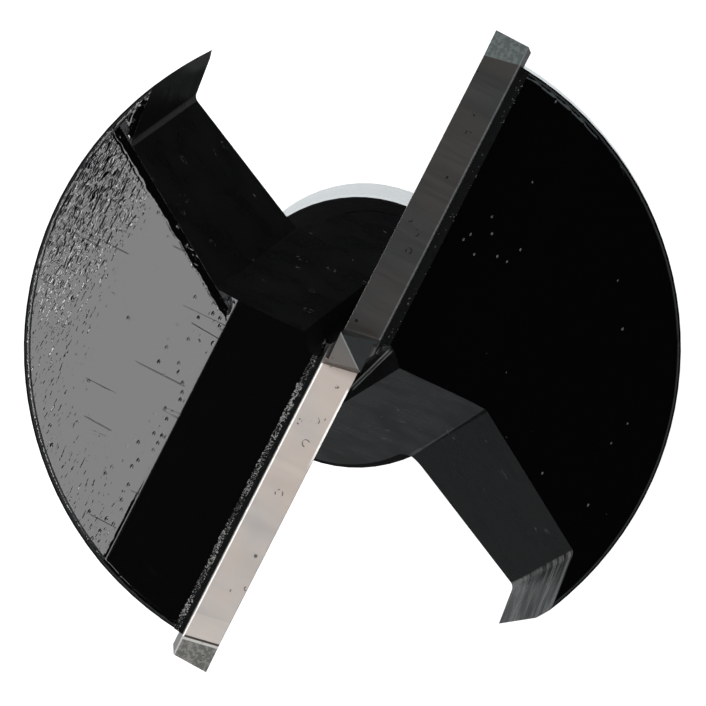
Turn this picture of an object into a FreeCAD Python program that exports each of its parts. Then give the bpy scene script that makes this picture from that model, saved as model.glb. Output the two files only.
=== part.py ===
"""Forstner bit with two brazed carbide cutters: one steel body with head, neck and shank.

Frame: millimetres, +Z along the axis towards the point. The origin is the centre of the
shank's end face. +X lies along one cutter, and that cutter's rake face looks towards +Y.
Seen from the point, the bit cuts turning counterclockwise.
"""
import FreeCAD
import Part
import math
import os

# overall sizes
cutting_diameter = 25.0
shank_diameter = 10.0
height_to_edges = 57.0
bare_shank_length = 30.3
shank_end_chamfer = 0.8

# head
head_height = 13.0
rim_inset = 0.75
rim_edge_chamfer = 0.25
rim_edge_round = 0.3
blunt_hook_inset = 0.4
blunt_hook_bearing = 226.0
neck_top_diameter = 8.8
neck_fillet = 0.8

# top of the wings, behind each cutter
land_drop = 1.0
land_width = 3.75
land_slope = 10.4
outer_facet_slope = 22.5
fold_round = 1.5

# chip gullets: corners in the plane of the head's underside
gullet_lean = 17.25
gullet_lean_heading = -27.7
gullet_corner_radius = 0.3
hook_depth = 1.21
hook_bearing = 60.1
hook_wall_heading = 6.0
floor_margin = 0.18
floor_bearing = 54.2
floor_wall_heading = -85.5

# centre gash, which thins the web beside the point
gash_wall_heading = 45.0
gash_floor_heading = -8.0
gash_corner_radius = 0.36
gash_corner_x = -1.2
gash_corner_y = 0.9

# carbide cutters
cutter_lead = 0.57
cutter_thickness = 1.3
cutter_height = 3.4
rake_angle = 3.0
relief_angle = 14.0
side_clearance_angle = 3.0
spur_width = 1.0
spur_rise = 0.35
spur_relief_angle = 17.5

# centre point
point_height = 1.3
point_roof_slope = 45.0
mitre_heading = 52.4
point_shoulder = 0.69
point_shoulder_heading = -81.0
point_side_lean = 8.0

# braze
braze_gap = 0.1
braze_fillet_width = 0.35
braze_fillet_height = 0.4

# values worked out from those above
cutting_radius = cutting_diameter / 2
shank_radius = shank_diameter / 2
neck_top_radius = neck_top_diameter / 2
rim_radius = cutting_radius - rim_inset
underside_z = height_to_edges - head_height
above_all = height_to_edges + point_height + 2.0
reach = 2 * (height_to_edges + cutting_diameter)
cutter_back = cutter_lead - cutter_thickness
land_start = -cutter_back
land_end = land_start + land_width
land_top_z = height_to_edges - cutter_thickness * math.tan(math.radians(relief_angle)) - land_drop
seat_floor_z = height_to_edges - cutter_height - braze_gap


def tan_deg(angle):
    return math.tan(math.radians(angle))


def plan_direction(heading):
    """Unit vector in the XY plane, with its heading in degrees from +X."""
    return FreeCAD.Vector(math.cos(math.radians(heading)), math.sin(math.radians(heading)), 0)


def downward(lean, heading):
    """The way down a wall that leans from the axis, for each millimetre of depth."""
    across = plan_direction(heading) * tan_deg(lean)
    return FreeCAD.Vector(across.x, across.y, -1)


def below_plane(point, normal):
    """A large block that fills the side of a plane away from its normal."""
    block = Part.makeBox(2 * reach, 2 * reach, 2 * reach, FreeCAD.Vector(-reach, -reach, -2 * reach))
    turn = FreeCAD.Rotation(FreeCAD.Vector(0, 0, 1), normal)
    block.Placement = FreeCAD.Placement(point, turn)
    return block


def prism(corners, along):
    """A closed flat outline pushed along a vector."""
    wire = Part.makePolygon(corners + [corners[0]])
    return Part.Face(wire).extrude(along)


def rounded_outline(corners, radii):
    """A flat closed wire with each corner rounded to its own radius, and sharp where it is 0."""
    edges = []
    ends = []
    count = len(corners)
    for index, corner in enumerate(corners):
        radius = radii[index]
        back = (corners[index - 1] - corner).normalize()
        ahead = (corners[(index + 1) % count] - corner).normalize()
        if radius == 0:
            ends.append((corner, corner))
            continue
        half = back.getAngle(ahead) / 2
        setback = radius / math.tan(half)
        middle = (back + ahead).normalize()
        centre = corner + middle * (radius / math.sin(half))
        start = corner + back * setback
        end = corner + ahead * setback
        edges.append(Part.Arc(start, centre - middle * radius, end).toShape())
        ends.append((start, end))
    for index in range(count):
        start = ends[index][1]
        end = ends[(index + 1) % count][0]
        edges.append(Part.LineSegment(start, end).toShape())
    return Part.Wire(Part.__sortEdges__(edges))


def half_turn(shape):
    """The same shape on the other side of the axis."""
    turned = shape.copy()
    turned.rotate(FreeCAD.Vector(0, 0, 0), FreeCAD.Vector(0, 0, 1), 180)
    return turned


def turned_blank():
    """Shank, tapered neck and head before any cut."""
    chamfer = shank_end_chamfer
    fillet = neck_fillet
    corner = FreeCAD.Vector(neck_top_radius + fillet, 0, underside_z)
    centre = FreeCAD.Vector(neck_top_radius + fillet, 0, underside_z - fillet)
    start = FreeCAD.Vector(neck_top_radius, 0, underside_z - fillet)
    middle = centre + FreeCAD.Vector(-fillet, 0, fillet) * math.sqrt(0.5)
    points = [
        FreeCAD.Vector(0, 0, 0),
        FreeCAD.Vector(shank_radius - chamfer, 0, 0),
        FreeCAD.Vector(shank_radius, 0, chamfer),
        FreeCAD.Vector(shank_radius, 0, bare_shank_length),
        start,
    ]
    lower = Part.makePolygon(points)
    fillet_arc = Part.Arc(start, middle, corner).toShape()
    upper = Part.makePolygon([
        corner,
        FreeCAD.Vector(rim_radius - rim_edge_chamfer, 0, underside_z),
        FreeCAD.Vector(rim_radius, 0, underside_z + rim_edge_chamfer),
        FreeCAD.Vector(rim_radius, 0, height_to_edges),
        FreeCAD.Vector(0, 0, height_to_edges),
        FreeCAD.Vector(0, 0, 0),
    ])
    outline = Part.Wire(Part.__sortEdges__(lower.Edges + [fillet_arc] + upper.Edges))
    return Part.Face(outline).revolve(FreeCAD.Vector(0, 0, 0), FreeCAD.Vector(0, 0, 1), 360)


def wing_tops():
    """Everything under the lands and outer facets, which fall away on both sides of the cutters."""
    land_end_z = land_top_z - land_width * tan_deg(land_slope)
    outer_z = land_end_z - (reach - land_end) * tan_deg(outer_facet_slope)
    side = [(reach, -reach), (reach, outer_z), (land_end, land_end_z), (land_start, land_top_z)]
    radii = [0, 0, fold_round, 0]
    section = side + [(-y, z) for y, z in reversed(side)]
    corners = [FreeCAD.Vector(-reach, y, z) for y, z in section]
    outline = rounded_outline(corners, radii + radii[::-1])
    return Part.Face(outline).extrude(FreeCAD.Vector(2 * reach, 0, 0))


def leaning_cut(wire, level):
    """An outline at a level swept up and down along the gullets' leaning direction."""
    way_down = downward(gullet_lean, gullet_lean_heading)
    start = wire.copy()
    start.translate(way_down * (level - above_all))
    depth = above_all - underside_z + head_height
    return Part.Face(start).extrude(way_down * depth)


def gullet_corners():
    """Hook, floor and far corners of a gullet in the plane of the underside."""
    hook = plan_direction(hook_bearing) * (rim_radius - hook_depth)
    floor = plan_direction(floor_bearing) * (neck_top_radius + floor_margin)
    mouth = hook + plan_direction(hook_wall_heading) * reach
    inner = floor + plan_direction(floor_wall_heading) * reach
    outer = inner + FreeCAD.Vector(2 * reach, 0, 0)
    level = FreeCAD.Vector(0, 0, underside_z)
    return [corner + level for corner in (mouth, hook, floor, inner, outer)]


def gash_cut():
    """Narrow cut beside the point, which leans like the gullet and has a round corner."""
    corner = FreeCAD.Vector(gash_corner_x, gash_corner_y, land_top_z)
    wall_end = corner + plan_direction(gash_wall_heading) * land_width
    floor_end = corner + plan_direction(gash_floor_heading) * reach
    far_end = wall_end + plan_direction(gash_floor_heading) * reach
    wire = rounded_outline([corner, wall_end, far_end, floor_end], [gash_corner_radius, 0, 0, 0])
    return leaning_cut(wire, land_top_z)


def in_front_of_rake():
    """Everything ahead of the cutter's rake face, which leans back under the edge."""
    edge = FreeCAD.Vector(0, cutter_lead, height_to_edges)
    normal = FreeCAD.Vector(0, -1, tan_deg(rake_angle))
    return below_plane(edge, normal)


def chip_gullet():
    """One gullet with its gash, on the rake side of the +X cutter."""
    radii = [0, gullet_corner_radius, gullet_corner_radius, 0, 0]
    outline = rounded_outline(gullet_corners(), radii)
    flute = leaning_cut(outline, underside_z)
    return flute.fuse(gash_cut()).common(in_front_of_rake())


def leaning_section(points):
    """Section across a cutter from (distance behind the rake face, height) pairs, pushed along X."""
    lean = tan_deg(rake_angle)
    corners = []
    for behind, z in points:
        y = cutter_lead - behind - (height_to_edges - z) * lean
        corners.append(FreeCAD.Vector(-cutting_radius, y, z))
    return prism(corners, FreeCAD.Vector(reach, 0, 0))


def mitre_side():
    """The +X side of the upright plane in which the two cutters meet."""
    along = plan_direction(mitre_heading)
    return below_plane(FreeCAD.Vector(0, 0, 0), FreeCAD.Vector(-along.y, along.x, 0))


def plate_blank():
    """The cutter's plate, full height, from the mitre outwards."""
    floor_z = height_to_edges - cutter_height
    section = [(0, floor_z), (cutter_thickness, floor_z), (cutter_thickness, above_all), (0, above_all)]
    return leaning_section(section).common(mitre_side())


def main_relief():
    """Everything under the relief behind the cutting edge."""
    edge = FreeCAD.Vector(0, cutter_lead, height_to_edges)
    return below_plane(edge, FreeCAD.Vector(0, -tan_deg(relief_angle), 1))


def spur_relief():
    """Everything under the rising top of the scoring spur at the outer corner."""
    start = FreeCAD.Vector(cutting_radius - spur_width, cutter_lead, height_to_edges)
    rise = spur_rise / spur_width
    return below_plane(start, FreeCAD.Vector(-rise, -tan_deg(spur_relief_angle), 1))


def outer_end():
    """Everything inside the cutter's outer end, which leans in towards the shank."""
    corner = FreeCAD.Vector(cutting_radius, 0, height_to_edges + spur_rise)
    return below_plane(corner, FreeCAD.Vector(1, 0, -tan_deg(side_clearance_angle)))


def point_half():
    """Half of the centre point: steep shoulder and a roof that falls from the chisel edge."""
    away = plan_direction(mitre_heading - 90)
    roof = below_plane(
        FreeCAD.Vector(0, 0, height_to_edges + point_height),
        FreeCAD.Vector(away.x, away.y, 0) * tan_deg(point_roof_slope) + FreeCAD.Vector(0, 0, 1))
    shoulder_way = plan_direction(point_shoulder_heading + 90)
    shoulder = below_plane(
        FreeCAD.Vector(point_shoulder, 0, height_to_edges),
        FreeCAD.Vector(shoulder_way.x, shoulder_way.y, tan_deg(point_side_lean)))
    return plate_blank().common(roof).common(shoulder)


def carbide_cutter():
    """The +X cutter with its half of the point."""
    blank = plate_blank()
    blade = blank.common(main_relief())
    spur_zone = below_plane(
        FreeCAD.Vector(cutting_radius - 2 * spur_width, 0, 0), FreeCAD.Vector(-1, 0, 0))
    spur = blank.common(spur_relief()).common(spur_zone)
    cutter = blade.fuse(spur).fuse(point_half()).common(outer_end())
    cutter = cutter.cut(chip_gullet()).cut(half_turn(chip_gullet()))
    return cutter.removeSplitter()


def seat_profile():
    """Floor, back wall and bevelled mouth of the pocket, as (distance behind the rake face, height)."""
    back = cutter_thickness + braze_gap
    mouth = cutter_thickness + braze_fillet_width
    mouth_z = land_top_z - braze_fillet_width * tan_deg(land_slope)
    bevel_depth = braze_fillet_width - braze_gap
    return [(0, seat_floor_z), (back, seat_floor_z), (back, mouth_z - bevel_depth), (mouth, mouth_z)]


def cutter_seat():
    """Pocket in the body for the +X cutter and its braze."""
    mouth = cutter_thickness + braze_fillet_width
    section = seat_profile() + [(mouth, above_all), (0, above_all)]
    return leaning_section(section).common(mitre_side())


def braze_seam():
    """Braze under and behind the +X cutter, with its fillet against the plate's back."""
    plate_floor_z = seat_floor_z + braze_gap
    section = seat_profile() + [
        (cutter_thickness, land_top_z + braze_fillet_height),
        (cutter_thickness, plate_floor_z),
        (0, plate_floor_z),
    ]
    seam = leaning_section(section).common(mitre_side())
    rim = Part.makeCylinder(rim_radius, above_all)
    seam = seam.common(rim)
    return seam.cut(chip_gullet()).cut(half_turn(chip_gullet()))


def blunt_hook():
    """Everything inside the flat that blunts one of the two hooks."""
    outward = plan_direction(blunt_hook_bearing)
    return below_plane(outward * (rim_radius - blunt_hook_inset), outward)


def upper_rim_edges(blank):
    """The curved edges between the rim and the wing tops, all the way round."""
    found = []
    for edge in blank.Edges:
        middle = edge.valueAt((edge.FirstParameter + edge.LastParameter) / 2)
        on_rim = abs(math.hypot(middle.x, middle.y) - rim_radius) < 0.001
        ends = edge.valueAt(edge.FirstParameter) - edge.valueAt(edge.LastParameter)
        upright = math.hypot(ends.x, ends.y) < 0.001
        if on_rim and not upright and middle.z > underside_z + rim_edge_chamfer + 0.001:
            found.append(edge)
    return found


def bit_body():
    """Steel body: turned blank with wing tops, two gullets and two cutter seats."""
    blank = turned_blank().common(wing_tops()).removeSplitter()
    body = blank.makeFillet(rim_edge_round, upper_rim_edges(blank))
    for tool in (chip_gullet(), cutter_seat()):
        body = body.cut(tool).cut(half_turn(tool))
    return body.common(blunt_hook()).removeSplitter()


def write(node, shape):
    print(node, "solids", len(shape.Solids), "volume", round(shape.Volume, 4), "valid", shape.isValid())
    shape.exportStep("parts/" + node + ".step")


os.makedirs("parts", exist_ok=True)
write("bit_body", bit_body())
cutter = carbide_cutter()
seam = braze_seam()
write("carbide_cutter_a", cutter)
write("carbide_cutter_b", half_turn(cutter))
write("braze_seam_a", seam)
write("braze_seam_b", half_turn(seam))
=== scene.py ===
"""Looks of the forstner bit: lacquered head, ground carbide cutters, brazed seams, bare shank.

Blender units are metres, in the same frame as the solids: +Z towards the point, origin in the
middle of the shank's end, +X along cutter a, whose rake face looks towards +Y. The lacquer of
the +Y wing catches the light in the photo; the -Y wing stays dark.
"""
import bmesh
import bpy
import math
from mathutils import Matrix, Vector


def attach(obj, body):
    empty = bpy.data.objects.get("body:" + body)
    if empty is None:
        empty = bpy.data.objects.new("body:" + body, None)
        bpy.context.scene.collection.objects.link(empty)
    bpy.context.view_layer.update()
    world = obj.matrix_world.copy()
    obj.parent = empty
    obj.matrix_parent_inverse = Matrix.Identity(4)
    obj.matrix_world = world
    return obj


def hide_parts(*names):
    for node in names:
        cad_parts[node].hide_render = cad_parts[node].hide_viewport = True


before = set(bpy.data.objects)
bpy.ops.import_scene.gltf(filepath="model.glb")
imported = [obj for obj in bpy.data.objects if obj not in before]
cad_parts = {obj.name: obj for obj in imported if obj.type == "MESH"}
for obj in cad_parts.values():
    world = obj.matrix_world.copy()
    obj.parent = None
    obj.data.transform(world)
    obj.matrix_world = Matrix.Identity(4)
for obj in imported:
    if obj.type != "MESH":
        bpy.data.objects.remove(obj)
bpy.context.view_layer.update()

MM = 0.001

# driving dimensions of the solids, in metres and degrees
height_to_edges = 57.0 * MM
bare_shank_length = 30.3 * MM
underside_z = 44.0 * MM
rim_radius = 11.75 * MM
neck_top_radius = 4.4 * MM
land_end = 4.48 * MM
plate_back = 0.73 * MM
cutting_edge = 0.57 * MM
mitre_heading = 52.4
spur_start = 11.60 * MM
spur_slant = 0.196
gullet_lean = 17.25
gullet_lean_heading = -27.7
hook_radius = 10.54 * MM
hook_bearing = 60.1
hook_wall_heading = 6.0
floor_radius = 4.58 * MM
floor_bearing = 54.2

# broken edges, and the angle from which an edge of each piece is sharp
edge_break = 0.035 * MM
steel_sharp_angle = 28.0
cutter_sharp_angle = 8.0
seam_sharp_angle = 20.0

# patterns: features per metre along X, Y and Z, or every way alike
peel_pattern = 6500
ripple_pattern = (2900, 7200, 5000)
pit_pattern = (3400, 5200, 4200)
scratch_pattern = (2600, 110, 110)
scratch_patches = (1500, 260, 260)
ragged_edge_pattern = 2600
gullet_tool_marks = (900, 900, 9000)
hook_streaks = (500, 500, 2600)
shank_tool_marks = (120, 120, 9000)
plate_grinding_marks = (7000, 500, 700)
nick_arc_pattern = 7000
gullet_nicks = 900.0
plate_nicks = 1500.0

# colours
lacquer_black = (0.0012, 0.0012, 0.0013, 1)
# pale specks on the lacquer: painted glints, where pits would catch the light
lacquer_glint_speck = (0.35, 0.35, 0.34, 1)
gullet_black = (0.0030, 0.0033, 0.0036, 1)
gullet_grey = (0.0060, 0.0063, 0.0060, 1)
gullet_nick = (0.09, 0.09, 0.09, 1)
# light line along the fold between hook and long wall: painted highlight
gullet_fold_highlight = (0.05, 0.052, 0.05, 1)
hook_tip_grey = (0.06, 0.065, 0.06, 1)
# grey of the -Y hook wall: painted reflection, with real brushing streaks in it
hook_sheen_dark_streak = (0.03, 0.031, 0.031, 1)
hook_sheen_light_streak = (0.22, 0.225, 0.22, 1)
# near-white lines in the gash: wheel marks of bare steel, painted as a highlight
gash_line_highlight = (0.8, 0.8, 0.8, 1)
neck_black = (0.0015, 0.0015, 0.0017, 1)
neck_dust = (0.004, 0.004, 0.0042, 1)
shank_dark = (0.60, 0.595, 0.59, 1)
shank_light = (0.74, 0.735, 0.73, 1)
# lighter steel near the top of the bare shank: painted highlight
shank_top_highlight = (0.86, 0.86, 0.86, 1)
carbide_cool = (0.415, 0.39, 0.378, 1)
carbide_warm = (0.475, 0.418, 0.38, 1)
carbide_nick = (0.12, 0.11, 0.10, 1)
# near-white lines on the plates' edges: painted highlights
carbide_edge_highlight = (0.95, 0.93, 0.90, 1)
carbide_pale_strip = (0.62, 0.56, 0.50, 1)
# dark line in the spur's groove on cutter b: painted shade
spur_groove_shade = (0.06, 0.05, 0.045, 1)
# corner facets of the spurs: painted light on cutter a, painted shade on cutter b
spur_a_lit_dark = (0.60, 0.63, 0.58, 1)
spur_a_lit_light = (0.85, 0.88, 0.82, 1)
spur_b_shaded_dark = (0.24, 0.24, 0.225, 1)
spur_b_shaded_light = (0.42, 0.415, 0.39, 1)
# point halves: painted shade on cutter a's half, painted highlight along b's mitre
point_shaded_half = (0.12, 0.125, 0.125, 1)
point_reddish_foot = (0.40, 0.30, 0.265, 1)
point_mitre_highlight = (0.72, 0.72, 0.69, 1)
braze_painted = (0.001, 0.001, 0.001, 1)
braze_bare = (0.30, 0.29, 0.27, 1)
fleck_dark = (0.28, 0.28, 0.27, 1)
fleck_light = (0.75, 0.75, 0.73, 1)
paper_dark = (0.78, 0.78, 0.78, 1)
paper_light = (0.82, 0.82, 0.82, 1)
surroundings = (0.93, 0.98, 1.0, 1)
white = (1, 1, 1, 1)

# lacquer on the wings: heights of its ripples, pits, scratches and rolled-over edge
ripple_height = 0.125 * MM
scratch_depth = 0.006 * MM
pit_slope = 0.07 * MM
pit_radius = 0.32
scattered_pits = 0.035
rolled_edge_width = 0.29 * MM
rolled_edge_ragged = 0.2 * MM
rolled_edge_slope = 0.5
bead_height = 0.009 * MM
bead_width = 0.09 * MM
rim_groove_depth = 0.04 * MM
speck_cluster = (5.8 * MM, -2.8 * MM, 56.2 * MM)

# wheel marks in the gash beside the point, painted near-white as a highlight: heading, place, length
# and widths
gash_mark_heading = -16.2
gash_mark_offset = -0.98 * MM
gash_mark_gap = 0.10 * MM
gash_mark_middle = -0.41 * MM
gash_mark_half_length = 0.9 * MM
gash_mark_widths = (0.022 * MM, 0.018 * MM)

# flecks of bare braze behind the plates
fleck_strip_middle = plate_back + 0.33 * MM
fleck_strip_half_width = 0.10 * MM
fleck_size = 0.036 * MM
fleck_seed = 5
flecks_per_square_metre = {"a": 2.0e7, "b": 3.0e8}

# the photograph's camera
camera_heading = -63.0
camera_distance = 0.692
camera_slip_right = -0.0084
camera_slip_up = -0.026
camera_offset_right = 0.0000657
camera_offset_up = -0.000067
focal_length_px = 19490
photo_width_px = 706
sensor_width = 36.0

# studio
panel_distance = 0.5
fill_size = (0.18, 0.18)
fill_radiance = 0.7
fill_colour = (0.80, 0.93, 1.0)
floor_half_width = 3.0


def plan_direction(heading):
    """Unit vector in the XY plane, with its heading in degrees from +X."""
    return Vector((math.cos(math.radians(heading)), math.sin(math.radians(heading)), 0))


# planes of the +Y gullet's long wall and of the wall of its hook
up = Vector((0, 0, 1))
gullet_down = plan_direction(gullet_lean_heading) * math.tan(math.radians(gullet_lean)) - up
hook_corner = plan_direction(hook_bearing) * hook_radius + up * underside_z
floor_corner = plan_direction(floor_bearing) * floor_radius + up * underside_z
gullet_wall_normal = (floor_corner - hook_corner).cross(gullet_down).normalized()
gullet_wall_offset = gullet_wall_normal.dot(hook_corner)
hook_wall_normal = plan_direction(hook_wall_heading).cross(gullet_down).normalized()
hook_wall_offset = hook_wall_normal.dot(hook_corner)
gullet_turn = gullet_down.to_track_quat("Z", "Y").inverted().to_euler()


# nodes

def put(tree, socket, value):
    """Links an output to a socket, or sets the socket's own value."""
    if isinstance(value, bpy.types.NodeSocket):
        tree.links.new(value, socket)
    else:
        socket.default_value = value


def add(tree, kind, inputs=None, **settings):
    """A new node with its settings, and its inputs linked or set by name or number."""
    made = tree.nodes.new(kind)
    for name, value in settings.items():
        setattr(made, name, value)
    for name, value in (inputs or {}).items():
        put(tree, made.inputs[name], value)
    return made


def calc(tree, operation, *values):
    return add(tree, "ShaderNodeMath", dict(enumerate(values)), operation=operation).outputs[0]


def product(tree, first, *others):
    for value in others:
        first = calc(tree, "MULTIPLY", first, value)
    return first


def total(tree, first, *others):
    for value in others:
        first = calc(tree, "ADD", first, value)
    return first


def vector_calc(tree, operation, *vectors):
    return add(tree, "ShaderNodeVectorMath", dict(enumerate(vectors)), operation=operation).outputs


def dot(tree, vector, direction):
    return vector_calc(tree, "DOT_PRODUCT", vector, direction)["Value"]


def gap(tree, value, middle):
    """How far a value is from a middle value."""
    return calc(tree, "ABSOLUTE", calc(tree, "SUBTRACT", value, middle))


def ramp(tree, value, low, high, to_low=0.0, to_high=1.0):
    """The value taken smoothly from one range to another."""
    made = add(tree, "ShaderNodeMapRange", {
        "Value": value,
        "From Min": low,
        "From Max": high,
        "To Min": to_low,
        "To Max": to_high,
    }, interpolation_type="SMOOTHSTEP")
    return made.outputs["Result"]


def stripe(tree, value, middle, solid, faded):
    """1 within one distance of a middle value, fading to 0 at a greater distance."""
    return ramp(tree, gap(tree, value, middle), faded, solid)


def stretched(tree, vector, scale, turn=(0, 0, 0)):
    """Coordinates scaled along X, Y and Z and then turned, for a pattern longer one way."""
    made = add(tree, "ShaderNodeMapping", {"Vector": vector, "Rotation": turn, "Scale": scale},
               vector_type="POINT")
    return made.outputs["Vector"]


def noise(tree, vector, scale, detail=2.0, roughness=0.5):
    made = add(tree, "ShaderNodeTexNoise", {
        "Vector": vector,
        "Scale": scale,
        "Detail": detail,
        "Roughness": roughness,
    })
    return made.outputs["Fac"]


def cells(tree, vector, scale):
    """Distance from the nearest point of a scatter, and that point's random colour in parts."""
    made = add(tree, "ShaderNodeTexVoronoi", {"Vector": vector, "Scale": scale}, feature="F1")
    tint = add(tree, "ShaderNodeSeparateColor", {"Color": made.outputs["Color"]})
    return made.outputs["Distance"], tint.outputs


def mix_colour(tree, factor, first, second):
    made = add(tree, "ShaderNodeMix", {"Factor": factor, "A": first, "B": second}, data_type="RGBA")
    return made.outputs["Result"]


def split(tree, vector):
    return add(tree, "ShaderNodeSeparateXYZ", {"Vector": vector}).outputs


def use_group(tree, group, inputs):
    return add(tree, "ShaderNodeGroup", inputs, node_tree=group).outputs


FLOAT = "NodeSocketFloat"
VECTOR = "NodeSocketVector"


def open_group(name, inputs, outputs):
    """A shader node group with its named sockets, and its inside ends."""
    tree = bpy.data.node_groups.new(name, "ShaderNodeTree")
    for label, kind in inputs:
        tree.interface.new_socket(label, in_out="INPUT", socket_type=kind)
    for label in outputs:
        tree.interface.new_socket(label, in_out="OUTPUT", socket_type=FLOAT)
    return tree, tree.nodes.new("NodeGroupInput").outputs, tree.nodes.new("NodeGroupOutput")


def lacquer_skin_group():
    """Peel, ripples, pits and scratches of lacquer as a height in metres, and a mask of pale specks
    that are painted glints.

    Peel, Ripple and Scratches are heights in metres. Pits and Specks are the share of the
    scatter's cells that have one.
    """
    tree, given, out = open_group("lacquer_skin", [
        ("Vector", VECTOR),
        ("Peel", FLOAT),
        ("Ripple", FLOAT),
        ("Pits", FLOAT),
        ("Specks", FLOAT),
        ("Scratches", FLOAT),
    ], ["Height", "Speck"])
    vector = given["Vector"]
    peel = product(tree, noise(tree, vector, peel_pattern), given["Peel"])
    worms = noise(tree, stretched(tree, vector, ripple_pattern), 1.0, 1.0)
    ripples = product(tree, worms, given["Ripple"])

    distance, tint = cells(tree, stretched(tree, vector, pit_pattern), 1.0)
    cone = calc(tree, "MINIMUM", calc(tree, "SUBTRACT", distance, pit_radius), 0.0)
    pitted = calc(tree, "LESS_THAN", tint["Red"], given["Pits"])
    pits = product(tree, cone, pitted, pit_slope)

    slightly_turned = (0, 0, math.radians(2))
    lines = noise(tree, stretched(tree, vector, scratch_pattern, slightly_turned), 1.0, 0.0)
    patches = noise(tree, stretched(tree, vector, scratch_patches, slightly_turned), 1.0, 0.0)
    scratch = ramp(tree, gap(tree, lines, 0.5), 0.0, 0.04, -1.0, 0.0)
    scratch = product(tree, scratch, ramp(tree, patches, 0.60, 0.65), given["Scratches"])
    put(tree, out.inputs["Height"], total(tree, peel, ripples, pits, scratch))

    # pale specks: painted glints, standing for light caught by pits in the lacquer
    specked = calc(tree, "LESS_THAN", tint["Red"], given["Specks"])
    put(tree, out.inputs["Speck"], product(tree, ramp(tree, distance, 0.24, 0.14), specked))
    return tree


def nicks_group():
    """Scattered small curved nicks of different sizes, as a mask."""
    tree, given, out = open_group("nicks", [
        ("Vector", VECTOR),
        ("Scale", FLOAT),
        ("Rarity", FLOAT),
    ], ["Mask"])
    distance, tint = cells(tree, given["Vector"], given["Scale"])
    size = calc(tree, "MULTIPLY_ADD", tint["Green"], 0.15, 0.06)
    ring = stripe(tree, distance, size, 0.015, 0.045)
    arc = ramp(tree, noise(tree, given["Vector"], nick_arc_pattern, 0.0), 0.54, 0.60)
    chosen = calc(tree, "GREATER_THAN", tint["Red"], given["Rarity"])
    put(tree, out.inputs["Mask"], product(tree, ring, arc, chosen))
    return tree


def machined_grain_group():
    """Fine parallel tool marks: a height, and a value that varies from line to line."""
    tree, given, out = open_group("machined_grain", [("Vector", VECTOR)], ["Height", "Variation"])
    fine = noise(tree, given["Vector"], 1.0, 3.0, 0.6)
    broad = noise(tree, given["Vector"], 0.23)
    put(tree, out.inputs["Height"], fine)
    variation = total(tree, product(tree, fine, 0.5), product(tree, broad, 0.5))
    put(tree, out.inputs["Variation"], variation)
    return tree


lacquer_skin = lacquer_skin_group()
machined_grain = machined_grain_group()
nicks = nicks_group()


def open_material(name):
    """A material with its tree, Principled shader and Object coordinates."""
    made = bpy.data.materials.new(name)
    made.use_nodes = True
    tree = made.node_tree
    shader = tree.nodes["Principled BSDF"]
    place = tree.nodes.new("ShaderNodeTexCoord").outputs["Object"]
    return made, tree, shader, place


def set_bump(tree, shader, height, distance=1.0):
    """Gives the shader a bump, whose height is in units of the distance."""
    made = add(tree, "ShaderNodeBump", {"Strength": 1.0, "Distance": distance, "Height": height})
    put(tree, shader.inputs["Normal"], made.outputs["Normal"])


def axis_distance(tree, parts):
    squares = [product(tree, parts[axis], parts[axis]) for axis in "XY"]
    return calc(tree, "SQRT", total(tree, *squares))


def signed_by(tree, value, other):
    """A value with its sign turned where another is negative, so that both wings read alike."""
    return product(tree, calc(tree, "SIGN", other), value)


def wall_distance(tree, place, normal, offset):
    """Distance from the nearer of a gullet wall's plane and its twin on the other side of the bit."""
    twin = Vector((-normal.x, -normal.y, normal.z))
    both = [gap(tree, dot(tree, place, way), offset) for way in (normal, twin)]
    return calc(tree, "MINIMUM", *both)


def hook_wall_distance(tree, place):
    return wall_distance(tree, place, hook_wall_normal, hook_wall_offset)


def fold_distance(tree, place):
    """Distance from the fold between the hook and the long wall of the +Y gullet."""
    away = vector_calc(tree, "SUBTRACT", place, hook_corner)["Vector"]
    turned = vector_calc(tree, "CROSS_PRODUCT", away, gullet_down.normalized())["Vector"]
    return vector_calc(tree, "LENGTH", turned)["Value"]


def gash_lines(tree, place, parts):
    """Two wheel marks of bare steel along the gash beside the point, on the -Y side, painted
    near-white as a highlight.
    """
    across = dot(tree, place, plan_direction(gash_mark_heading + 90))
    offsets = (gash_mark_offset, gash_mark_offset - gash_mark_gap)
    marks = []
    for offset, width in zip(offsets, gash_mark_widths):
        marks.append(stripe(tree, across, offset, width, 1.8 * width))
    both = calc(tree, "MAXIMUM", *marks)
    faded = gash_mark_half_length + 0.2 * MM
    along = stripe(tree, parts["X"], gash_mark_middle, gash_mark_half_length, faded)
    return product(tree, both, along)


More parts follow.
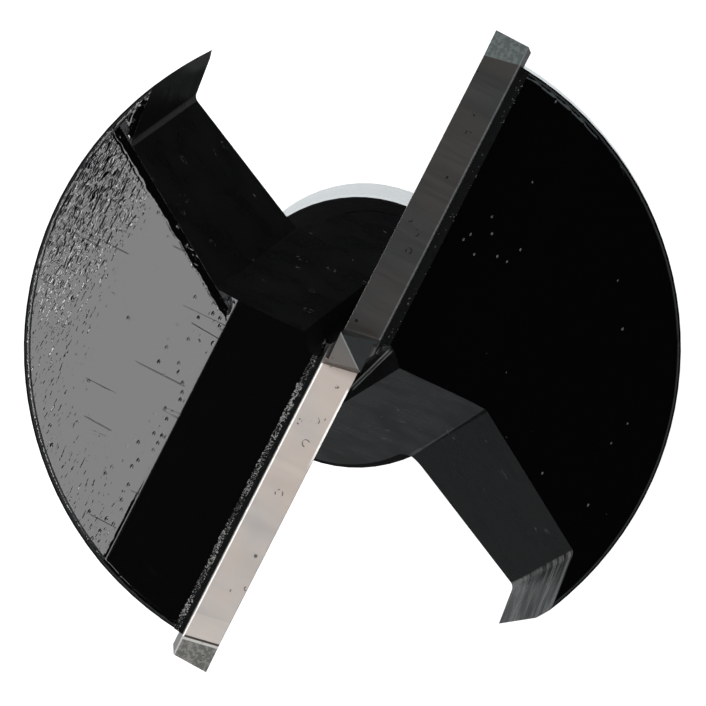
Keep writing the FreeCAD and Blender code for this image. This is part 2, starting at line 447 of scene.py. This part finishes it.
def wing_lacquer_material():
    """Gloss black lacquer of the wing tops: rippled near the rim, rolled over at the gullet's edge."""
    made, tree, shader, place = open_material("wing_lacquer")
    shader.inputs["Roughness"].default_value = 0.08
    shader.inputs["IOR"].default_value = 1.8
    parts = split(tree, place)
    radius = axis_distance(tree, parts)
    across = calc(tree, "ABSOLUTE", parts["Y"])
    towards_hook = signed_by(tree, parts["X"], parts["Y"])
    bright_wing = ramp(tree, parts["Y"], -0.1 * MM, 0.1 * MM)
    on_facet = ramp(tree, across, land_end - 0.05 * MM, land_end + 0.1 * MM)
    bright_facet = product(tree, on_facet, bright_wing)

    near_rim = ramp(tree, radius, 7.8 * MM, 11.0 * MM)
    near_hook = ramp(tree, towards_hook, -6.0 * MM, 3.0 * MM, 0.15, 1.0)
    rippled = product(tree, near_rim, near_hook, on_facet)
    peel = ramp(tree, radius, 7.0 * MM, 11.5 * MM, 0.002 * MM, 0.009 * MM)

    near_fold = ramp(tree, across, land_end + 1.9 * MM, land_end + 0.1 * MM)
    clumps = ramp(tree, noise(tree, place, 420, 1.0), 0.36, 0.58, 0.12, 0.75)
    pits = calc(tree, "MAXIMUM", product(tree, near_fold, clumps), scattered_pits)
    # pale specks gathered round one place on the lands and the -Y wing: painted glints
    from_cluster = vector_calc(tree, "DISTANCE", place, speck_cluster)["Value"]
    specks = ramp(tree, from_cluster, 1.8 * MM, 0.7 * MM, 0.01, 0.3)

    beyond_corner = ramp(tree, towards_hook, 2.7 * MM, 3.1 * MM, 3.0 * MM, 0.0)
    from_hook = total(tree, hook_wall_distance(tree, place), beyond_corner)
    from_gullet = wall_distance(tree, place, gullet_wall_normal, gullet_wall_offset)
    from_edge = calc(tree, "MINIMUM", from_gullet, from_hook)
    from_roll = calc(tree, "SUBTRACT", from_edge, rolled_edge_width)
    ragged = calc(tree, "SUBTRACT", noise(tree, place, ragged_edge_pattern), 0.5)
    from_roll = calc(tree, "MULTIPLY_ADD", ragged, rolled_edge_ragged, from_roll)
    off_roll = product(tree, bright_wing, ramp(tree, from_roll, 0.0, 0.15 * MM))

    skin = use_group(tree, lacquer_skin, {
        "Vector": place,
        "Peel": product(tree, bright_facet, peel),
        "Ripple": product(tree, rippled, off_roll, ripple_height),
        "Pits": product(tree, pits, bright_facet),
        "Specks": product(tree, specks, calc(tree, "SUBTRACT", 1.0, bright_facet)),
        "Scratches": product(tree, bright_wing, scratch_depth),
    })
    colour = mix_colour(tree, skin["Speck"], lacquer_black, lacquer_glint_speck)
    put(tree, shader.inputs["Base Color"], colour)

    sunk = product(tree, calc(tree, "MINIMUM", from_roll, 0.0), rolled_edge_slope)
    bead = ramp(tree, from_roll, bead_width, 0.0, 0.0, bead_height)
    rolled = product(tree, total(tree, sunk, bead), bright_facet)
    groove_start = rim_radius - 0.27 * MM
    groove_full = rim_radius - 0.18 * MM
    groove = ramp(tree, radius, groove_start, groove_full, 0.0, -rim_groove_depth)
    rolled = total(tree, rolled, product(tree, groove, bright_facet))
    set_bump(tree, shader, total(tree, skin["Height"], rolled))
    return made


def rim_lacquer_material():
    """Gloss black lacquer of the rim, with faint orange peel."""
    made, tree, shader, place = open_material("rim_lacquer")
    shader.inputs["Base Color"].default_value = lacquer_black
    shader.inputs["Roughness"].default_value = 0.14
    shader.inputs["IOR"].default_value = 1.6
    skin = use_group(tree, lacquer_skin, {"Vector": place, "Peel": 0.0015 * MM})
    set_bump(tree, shader, skin["Height"])
    return made


def gullet_lacquer_material():
    """Thinner satin lacquer over the milled gullet walls, with a painted highlight along the fold, a
    painted reflection on the -Y hook wall, and bare wheel marks at the gash, painted near-white as a
    highlight.
    """
    made, tree, shader, place = open_material("gullet_lacquer")
    parts = split(tree, place)
    tool_marks = stretched(tree, place, gullet_tool_marks, gullet_turn)
    grain = use_group(tree, machined_grain, {"Vector": tool_marks})
    cloud = product(tree, noise(tree, place, 600, 3.0), 0.75)
    cloud = calc(tree, "MULTIPLY_ADD", grain["Variation"], 0.25, cloud)
    colour = mix_colour(tree, ramp(tree, cloud, 0.38, 0.62), gullet_black, gullet_grey)
    nick = use_group(tree, nicks, {"Vector": place, "Scale": gullet_nicks, "Rarity": 0.3})["Mask"]
    colour = mix_colour(tree, nick, colour, gullet_nick)

    # painted highlight along the fold of the +Y gullet only
    fold = ramp(tree, fold_distance(tree, place), 0.15 * MM, 0.11 * MM)
    colour = mix_colour(tree, fold, colour, gullet_fold_highlight)
    outside = ramp(tree, axis_distance(tree, parts), 11.2 * MM, 11.45 * MM)
    past_hook = ramp(tree, signed_by(tree, parts["X"], parts["Y"]), 5.8 * MM, 6.3 * MM)
    hook_tip = product(tree, outside, past_hook)
    colour = mix_colour(tree, hook_tip, colour, hook_tip_grey)

    # the -Y hook wall painted grey as a reflection of the lit side, with brushing streaks
    streaks = noise(tree, stretched(tree, place, hook_streaks, gullet_turn), 1.0)
    streaks = ramp(tree, streaks, 0.40, 0.60)
    streaked = mix_colour(tree, streaks, hook_sheen_dark_streak, hook_sheen_light_streak)
    on_hook = ramp(tree, hook_wall_distance(tree, place), 0.12 * MM, 0.06 * MM)
    hook_painted_sheen = product(tree, on_hook, ramp(tree, parts["Y"], -0.1 * MM, -0.2 * MM))
    colour = mix_colour(tree, hook_painted_sheen, colour, streaked)
    # the gash's wheel marks painted near-white as a highlight
    colour = mix_colour(tree, gash_lines(tree, place, parts), colour, gash_line_highlight)
    put(tree, shader.inputs["Base Color"], colour)

    put(tree, shader.inputs["Roughness"], ramp(tree, cloud, 0.35, 0.65, 0.24, 0.36))
    shader.inputs["IOR"].default_value = 1.5
    height = calc(tree, "MULTIPLY_ADD", nick, -6.0, grain["Height"])
    set_bump(tree, shader, height, 0.0007 * MM)
    return made


def neck_lacquer_material():
    """Dull black lacquer of the neck, dusted with dry spray."""
    made, tree, shader, place = open_material("neck_lacquer")
    dust = noise(tree, place, 3000, 3.0)
    colour = mix_colour(tree, ramp(tree, dust, 0.4, 0.7), neck_black, neck_dust)
    put(tree, shader.inputs["Base Color"], colour)
    put(tree, shader.inputs["Roughness"], ramp(tree, dust, 0.3, 0.7, 0.7, 0.85))
    shader.inputs["Specular IOR Level"].default_value = 0.02
    set_bump(tree, shader, dust, 0.004 * MM)
    return made


def bare_steel_material():
    """Turned and polished steel of the shank, with fine marks running round it and a painted highlight
    near the top of its bare part.
    """
    made, tree, shader, place = open_material("bare_steel")
    parts = split(tree, place)
    turned = stretched(tree, place, shank_tool_marks)
    grain = use_group(tree, machined_grain, {"Vector": turned})
    dulled = mix_colour(tree, grain["Variation"], shank_dark, shank_light)
    # painted highlight towards the top of the bare part
    top_highlight = ramp(tree, parts["Z"], bare_shank_length - 7 * MM, bare_shank_length - 4 * MM)
    colour = mix_colour(tree, top_highlight, dulled, shank_top_highlight)
    put(tree, shader.inputs["Base Color"], colour)
    shader.inputs["Metallic"].default_value = 1.0
    put(tree, shader.inputs["Roughness"], ramp(tree, grain["Variation"], 0.2, 0.8, 0.15, 0.24))
    set_bump(tree, shader, grain["Height"], 0.0004 * MM)
    return made


def spur_colours(tree, place, colour, beyond, on_b):
    """The outer corner facet, painted lighter on cutter a and darker on cutter b for how the light
    falls on each, and on cutter b the pale strip before it.
    """
    speckle = ramp(tree, noise(tree, place, 7000), 0.42, 0.6)
    shade = mix_colour(tree, on_b, spur_a_lit_dark, spur_b_shaded_dark)
    light = mix_colour(tree, on_b, spur_a_lit_light, spur_b_shaded_light)
    spur = ramp(tree, beyond, 0.0, 0.03 * MM)
    colour = mix_colour(tree, spur, colour, mix_colour(tree, speckle, shade, light))
    strip_start = ramp(tree, beyond, -0.95 * MM, -0.90 * MM, 0.0, 0.35)
    strip_end = ramp(tree, beyond, 0.0, -0.03 * MM)
    pale_strip = product(tree, strip_start, strip_end, on_b)
    return mix_colour(tree, pale_strip, colour, carbide_pale_strip)


def point_colours(tree, parts, place, colour):
    """The two half points: painted shade on cutter a's half; on cutter b's, which is lit, a reddish
    foot and a painted highlight along the mitre.
    """
    from_mitre = dot(tree, place, plan_direction(mitre_heading - 90))
    above_edges = ramp(tree, parts["Z"], height_to_edges + 0.02 * MM, height_to_edges + 0.06 * MM)
    near_axis = ramp(tree, axis_distance(tree, parts), 2.2 * MM, 2.0 * MM)
    point = product(tree, above_edges, near_axis)
    # cutter a's half of the point: painted shade
    shaded_half = product(tree, point, ramp(tree, from_mitre, -0.01 * MM, 0.01 * MM))
    colour = mix_colour(tree, shaded_half, colour, point_shaded_half)
    lit_half = product(tree, point, ramp(tree, from_mitre, 0.01 * MM, -0.01 * MM))
    foot_top = height_to_edges + 0.55 * MM
    foot_full = height_to_edges + 0.35 * MM
    foot = product(tree, lit_half, ramp(tree, parts["Z"], foot_top, foot_full, 0.0, 0.8))
    colour = mix_colour(tree, foot, colour, point_reddish_foot)
    # painted highlight along the mitre on cutter b's half
    mitre_highlight = stripe(tree, from_mitre, -0.035 * MM, 0.012 * MM, 0.025 * MM)
    mitre_highlight = product(tree, lit_half, mitre_highlight)
    return mix_colour(tree, mitre_highlight, colour, point_mitre_highlight)


def carbide_material():
    """Ground tungsten carbide: fine grinding lines, nicks, painted highlights along the edges, and
    painted light and shade on the spurs and the point.
    """
    made, tree, shader, place = open_material("ground_carbide")
    parts = split(tree, place)
    ground = stretched(tree, place, plate_grinding_marks)
    grain = use_group(tree, machined_grain, {"Vector": ground})
    cloud = ramp(tree, noise(tree, place, 320, 3.0), 0.38, 0.62)
    colour = mix_colour(tree, cloud, carbide_cool, carbide_warm)

    on_b = ramp(tree, parts["X"], 0.1 * MM, -0.1 * MM)
    across = signed_by(tree, parts["Y"], parts["X"])
    beyond = calc(tree, "SUBTRACT", calc(tree, "ABSOLUTE", parts["X"]), spur_start)
    beyond = total(tree, beyond, product(tree, across, spur_slant))
    colour = spur_colours(tree, place, colour, beyond, on_b)
    # painted shade in the groove before the spur, on cutter b only
    groove = product(tree, stripe(tree, beyond, -0.03 * MM, 0.025 * MM, 0.05 * MM), on_b)
    colour = mix_colour(tree, groove, colour, spur_groove_shade)

    # painted highlights: beyond the spur's groove on b, along the back edges, and on b's front edge
    # near the point
    spur_lip_highlight = product(tree, stripe(tree, beyond, 0.06 * MM, 0.03 * MM, 0.06 * MM), on_b)
    back_edge_highlight = ramp(tree, across, 0.05 * MM - plate_back, 0.025 * MM - plate_back)
    front_edge_highlight = ramp(tree, across, cutting_edge - 0.10 * MM, cutting_edge - 0.06 * MM)
    outer_end = ramp(tree, parts["X"], -4.6 * MM, -3.6 * MM)
    inner_end = ramp(tree, parts["X"], -1.2 * MM, -1.4 * MM)
    front_edge_highlight = product(tree, front_edge_highlight, outer_end, inner_end)
    edge_highlights = calc(tree, "MAXIMUM", spur_lip_highlight, calc(tree, "MAXIMUM", back_edge_highlight, front_edge_highlight))
    colour = mix_colour(tree, edge_highlights, colour, carbide_edge_highlight)
    colour = point_colours(tree, parts, place, colour)

    nick = use_group(tree, nicks, {"Vector": place, "Scale": plate_nicks, "Rarity": 0.1})["Mask"]
    colour = mix_colour(tree, nick, colour, carbide_nick)
    put(tree, shader.inputs["Base Color"], colour)
    shader.inputs["Metallic"].default_value = 1.0
    put(tree, shader.inputs["Roughness"], ramp(tree, grain["Variation"], 0.3, 0.7, 0.38, 0.46))
    hollows = calc(tree, "MAXIMUM", nick, groove)
    set_bump(tree, shader, calc(tree, "MULTIPLY_ADD", hollows, -6.0, grain["Height"]), 0.0004 * MM)
    return made


def braze_material():
    """Braze with paint and flux burnt onto it."""
    made, tree, shader, place = open_material("painted_braze")
    lump = noise(tree, place, 4200, 3.0)
    bare = ramp(tree, lump, 0.70, 0.76)
    colour = mix_colour(tree, bare, braze_painted, braze_bare)
    put(tree, shader.inputs["Base Color"], colour)
    put(tree, shader.inputs["Roughness"], ramp(tree, lump, 0.3, 0.7, 0.12, 0.4))
    shader.inputs["IOR"].default_value = 1.25
    set_bump(tree, shader, lump, 0.008 * MM)
    return made


def fleck_material():
    """Bare silver braze and flux that broke through the paint along the seam."""
    made, tree, shader, place = open_material("bare_flecks")
    lump = noise(tree, place, 9000)
    colour = mix_colour(tree, lump, fleck_dark, fleck_light)
    put(tree, shader.inputs["Base Color"], colour)
    shader.inputs["Metallic"].default_value = 0.6
    put(tree, shader.inputs["Roughness"], ramp(tree, lump, 0.3, 0.7, 0.4, 0.65))
    set_bump(tree, shader, lump, 0.01 * MM)
    return made


wing_lacquer = wing_lacquer_material()
rim_lacquer = rim_lacquer_material()
gullet_lacquer = gullet_lacquer_material()
neck_lacquer = neck_lacquer_material()
bare_steel = bare_steel_material()
ground_carbide = carbide_material()
painted_braze = braze_material()
bare_flecks = fleck_material()


# pieces

def welded_copy(name, node):
    """A copy of a solid's mesh with its triangles joined along their edges."""
    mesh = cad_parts[node].data.copy()
    mesh.name = name
    mesh.materials.clear()
    piece = bpy.data.objects.new(name, mesh)
    bpy.context.scene.collection.objects.link(piece)
    shape = bmesh.new()
    shape.from_mesh(mesh)
    bmesh.ops.remove_doubles(shape, verts=shape.verts, dist=0.0005 * MM)
    flat = math.radians(0.3)
    bmesh.ops.dissolve_limit(shape, angle_limit=flat, verts=shape.verts, edges=shape.edges)
    return piece, shape


def plain_mesh(piece):
    """The piece's mesh with its modifiers applied."""
    bpy.context.view_layer.update()
    shown = piece.evaluated_get(bpy.context.evaluated_depsgraph_get())
    return bpy.data.meshes.new_from_object(shown)


def finish_mesh(piece, shape, materials, width, sharp_angle):
    """Writes the mesh, breaks its sharp edges and smooths its curved faces."""
    for material in materials:
        piece.data.materials.append(material)
    shape.to_mesh(piece.data)
    shape.free()
    for name in ("custom_normal", "sharp_edge", "sharp_face"):
        found = piece.data.attributes.get(name)
        if found:
            piece.data.attributes.remove(found)
    bevel = piece.modifiers.new("broken_edges", "BEVEL")
    bevel.width = width
    bevel.segments = 2
    bevel.limit_method = "ANGLE"
    bevel.angle_limit = math.radians(sharp_angle)
    made = plain_mesh(piece)
    piece.modifiers.clear()
    piece.data = made
    for face in made.polygons:
        face.use_smooth = True
    made.set_sharp_from_angle(angle=math.radians(sharp_angle))
    weigh = piece.modifiers.new("flat_faces_stay_flat", "WEIGHTED_NORMAL")
    weigh.keep_sharp = True
    weigh.weight = 100


def fleck_row_group():
    """Geometry nodes: grains scattered in clumps over a strip of the mesh, added to it."""
    tree = bpy.data.node_groups.new("fleck_row", "GeometryNodeTree")
    sockets = {}
    for label, kind in (
        ("Geometry", "NodeSocketGeometry"),
        ("Middle", FLOAT),
        ("Half Width", FLOAT),
        ("Density", FLOAT),
        ("Size", FLOAT),
        ("Seed", "NodeSocketInt"),
        ("Material", "NodeSocketMaterial"),
    ):
        socket = tree.interface.new_socket(label, in_out="INPUT", socket_type=kind)
        sockets[label] = socket.identifier
    tree.interface.new_socket("Geometry", in_out="OUTPUT", socket_type="NodeSocketGeometry")
    given = tree.nodes.new("NodeGroupInput").outputs
    out = tree.nodes.new("NodeGroupOutput")
    place = tree.nodes.new("GeometryNodeInputPosition").outputs["Position"]
    facing = tree.nodes.new("GeometryNodeInputNormal").outputs["Normal"]

    scatter = add(tree, "GeometryNodeDistributePointsOnFaces", {
        "Mesh": given["Geometry"],
        "Selection": calc(tree, "GREATER_THAN", dot(tree, facing, up), 0.15),
        "Density": given["Density"],
        "Seed": given["Seed"],
    }, distribute_method="RANDOM")
    across = calc(tree, "ABSOLUTE", dot(tree, place, (0, 1, 0)))
    from_middle = gap(tree, across, given["Middle"])
    strip = add(tree, "GeometryNodeDeleteGeometry", {
        "Geometry": scatter.outputs["Points"],
        "Selection": calc(tree, "GREATER_THAN", from_middle, given["Half Width"]),
    }, domain="POINT")

    ball = add(tree, "GeometryNodeMeshIcoSphere", {"Radius": 1.0, "Subdivisions": 2})
    lump = add(tree, "ShaderNodeTexNoise", {"Scale": 1.7, "Detail": 2.0})
    dent = add(tree, "ShaderNodeVectorMath", {0: lump.outputs["Color"], "Scale": 0.7},
               operation="SCALE")
    grain = add(tree, "GeometryNodeSetPosition", {
        "Geometry": ball.outputs["Mesh"],
        "Offset": dent.outputs["Vector"],
    })

    clump = ramp(tree, noise(tree, place, 1300), 0.38, 0.58, 0.35, 1.0)
    size = add(tree, "FunctionNodeRandomValue", {
        "Min": (0.4, 0.3, 0.2),
        "Max": (1.5, 1.0, 0.6),
        "Seed": given["Seed"],
    }, data_type="FLOAT_VECTOR")
    scale = add(tree, "ShaderNodeVectorMath", {
        0: size.outputs["Value"],
        "Scale": product(tree, clump, given["Size"]),
    }, operation="SCALE")
    spin = add(tree, "FunctionNodeRandomValue", {
        "Min": (-0.5, -0.5, -3.1),
        "Max": (0.5, 0.5, 3.1),
        "Seed": given["Seed"],
    }, data_type="FLOAT_VECTOR")
    spread = add(tree, "GeometryNodeInstanceOnPoints", {
        "Points": strip.outputs["Geometry"],
        "Instance": grain.outputs["Geometry"],
        "Rotation": spin.outputs["Value"],
        "Scale": scale.outputs["Vector"],
    })
    real = add(tree, "GeometryNodeRealizeInstances", {"Geometry": spread.outputs["Instances"]})
    painted = add(tree, "GeometryNodeSetMaterial", {
        "Geometry": real.outputs["Geometry"],
        "Material": given["Material"],
    })
    join = add(tree, "GeometryNodeJoinGeometry")
    tree.links.new(painted.outputs["Geometry"], join.inputs["Geometry"])
    tree.links.new(given["Geometry"], join.inputs["Geometry"])
    put(tree, out.inputs["Geometry"], join.outputs["Geometry"])
    return tree, sockets


fleck_row, fleck_row_sockets = fleck_row_group()


def add_flecks(piece, settings):
    """Adds a row of flecks to a piece's mesh."""
    row = piece.modifiers.new("fleck_row", "NODES")
    row.node_group = fleck_row
    for label, value in settings.items():
        row[fleck_row_sockets[label]] = value
    made = plain_mesh(piece)
    piece.modifiers.remove(row)
    piece.data = made


def paint_of(face):
    """The finish of a face of the body, by where it lies and where it looks."""
    middle = face.calc_center_median()
    radius = math.hypot(middle.x, middle.y)
    below_head = middle.z < underside_z - 0.01 * MM
    on_neck = below_head and radius < neck_top_radius + 1.0 * MM and face.normal.z < 0.15
    looks_out = face.normal.xy.dot(middle.xy) > 0.5 * radius
    if middle.z < bare_shank_length:
        return bare_steel
    if on_neck:
        return neck_lacquer
    if face.normal.z > 0.85:
        return wing_lacquer
    if radius > rim_radius - 0.35 * MM and looks_out:
        return rim_lacquer
    return gullet_lacquer


def steel_body():
    """Head, neck and shank, with lacquer down to the bare part of the shank."""
    piece, shape = welded_copy("steel_body", "bit_body")
    paints = [wing_lacquer, gullet_lacquer, neck_lacquer, bare_steel, rim_lacquer]
    for face in shape.faces:
        face.material_index = paints.index(paint_of(face))
    finish_mesh(piece, shape, paints, edge_break, steel_sharp_angle)
    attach(piece, "root")
    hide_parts("bit_body")


def cutter(side):
    """One carbide plate, with its half of the point and its spur."""
    piece, shape = welded_copy("ground_cutter_" + side, "carbide_cutter_" + side)
    finish_mesh(piece, shape, [ground_carbide], 1.2 * edge_break, cutter_sharp_angle)
    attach(piece, "root")
    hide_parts("carbide_cutter_" + side)


def seam(side):
    """The braze under and behind one plate, with flecks where the paint came off."""
    piece, shape = welded_copy("brazed_seam_" + side, "braze_seam_" + side)
    finish_mesh(piece, shape, [painted_braze], 0.5 * edge_break, seam_sharp_angle)
    add_flecks(piece, {
        "Middle": fleck_strip_middle,
        "Half Width": fleck_strip_half_width,
        "Density": flecks_per_square_metre[side],
        "Size": fleck_size,
        "Seed": fleck_seed,
        "Material": bare_flecks,
    })
    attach(piece, "root")
    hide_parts("braze_seam_" + side)


steel_body()
for side in ("a", "b"):
    cutter(side)
    seam(side)


# studio

def photo_camera():
    """The photograph's camera: nearly straight above the point, far away, a little off the axis."""
    right = plan_direction(camera_heading)
    above = plan_direction(camera_heading + 90)
    forward = (-up + right * camera_slip_right + above * camera_slip_up).normalized()
    right = (right - forward * right.dot(forward)).normalized()
    above = right.cross(forward)
    place = up * height_to_edges - forward * camera_distance
    place += right * camera_offset_right + above * camera_offset_up
    data = bpy.data.cameras.new("photo_camera")
    data.sensor_width = sensor_width
    data.lens = focal_length_px / photo_width_px * sensor_width
    data.clip_start = 0.05
    data.clip_end = 20
    made = bpy.data.objects.new("photo_camera", data)
    turn = Matrix((right, above, -forward)).transposed().to_4x4()
    made.matrix_world = Matrix.Translation(place) @ turn
    bpy.context.scene.collection.objects.link(made)
    bpy.context.scene.camera = made


def leaning(angle, heading):
    """A direction that leans from straight up towards a heading."""
    away = math.sin(math.radians(angle))
    return plan_direction(heading) * away + up * math.cos(math.radians(angle))


def panel(name, towards, size, radiance, colour=(1, 1, 1)):
    """A soft panel light that faces the head from a direction, its length along X."""
    data = bpy.data.lights.new(name, "AREA")
    data.shape = "RECTANGLE"
    data.size, data.size_y = size
    data.energy = radiance * math.pi * size[0] * size[1]
    data.color = colour
    made = bpy.data.objects.new(name, data)
    back = towards.normalized()
    length = Vector((1, 0, 0))
    along = (length - back * back.dot(length)).normalized()
    turn = Matrix((along, back.cross(along), back)).transposed().to_4x4()
    place = up * height_to_edges + back * panel_distance
    made.matrix_world = Matrix.Translation(place) @ turn
    made.visible_camera = False
    bpy.context.scene.collection.objects.link(made)


def studio_world():
    """Dim surroundings, brighter low down on the lit side, and plain white behind the object."""
    world = bpy.data.worlds.new("studio")
    bpy.context.scene.world = world
    world.use_nodes = True
    tree = world.node_tree
    tree.nodes.clear()
    way = tree.nodes.new("ShaderNodeTexCoord").outputs["Generated"]
    lit_side = plan_direction(camera_heading + 205)
    side = ramp(tree, dot(tree, way, lit_side), -0.35, 0.45)
    height = dot(tree, way, up)
    low = ramp(tree, height, -0.87, -0.96, 0.03, 0.47)
    below = ramp(tree, height, 0.1, -0.2)
    lit = product(tree, side, low, below)
    horizon = ramp(tree, calc(tree, "ABSOLUTE", height), 0.4, 0.0, 0.0, 0.5)
    straight_down = ramp(tree, height, -0.985, -0.995)
    everywhere = 0.012
    strength = total(tree, lit, horizon, straight_down, everywhere)
    dim = add(tree, "ShaderNodeBackground", {"Color": surroundings, "Strength": strength})
    plain = add(tree, "ShaderNodeBackground", {"Color": white, "Strength": 1.0})
    seen = tree.nodes.new("ShaderNodeLightPath").outputs["Is Camera Ray"]
    both = add(tree, "ShaderNodeMixShader", {"Fac": seen, 1: dim.outputs[0], 2: plain.outputs[0]})
    add(tree, "ShaderNodeOutputWorld", {"Surface": both.outputs[0]})


def pale_floor():
    """A plain white surface that the bit stands on."""
    half = floor_half_width
    corners = [(-half, -half, 0), (half, -half, 0), (half, half, 0), (-half, half, 0)]
    mesh = bpy.data.meshes.new("floor")
    mesh.from_pydata(corners, [], [(0, 1, 2, 3)])
    made = bpy.data.objects.new("floor", mesh)
    material, tree, shader, place = open_material("floor_paper")
    fibre = noise(tree, place, 40)
    colour = mix_colour(tree, fibre, paper_dark, paper_light)
    put(tree, shader.inputs["Base Color"], colour)
    shader.inputs["Roughness"].default_value = 0.9
    shader.inputs["Emission Color"].default_value = white
    shader.inputs["Emission Strength"].default_value = 0.92
    mesh.materials.append(material)
    made.visible_glossy = False
    bpy.context.scene.collection.objects.link(made)


photo_camera()
studio_world()
pale_floor()
panel("softbox", leaning(41, 90), (0.40, 0.25), 2.7)
panel("high_strip", leaning(64, 90), (0.50, 0.05), 9.0)
panel("left_fill", leaning(36, -140), fill_size, fill_radiance, fill_colour)
panel("right_fill", leaning(36, -40), fill_size, fill_radiance, fill_colour)
bpy.context.scene.view_settings.view_transform = "Standard"

bpy.context.view_layer.update()
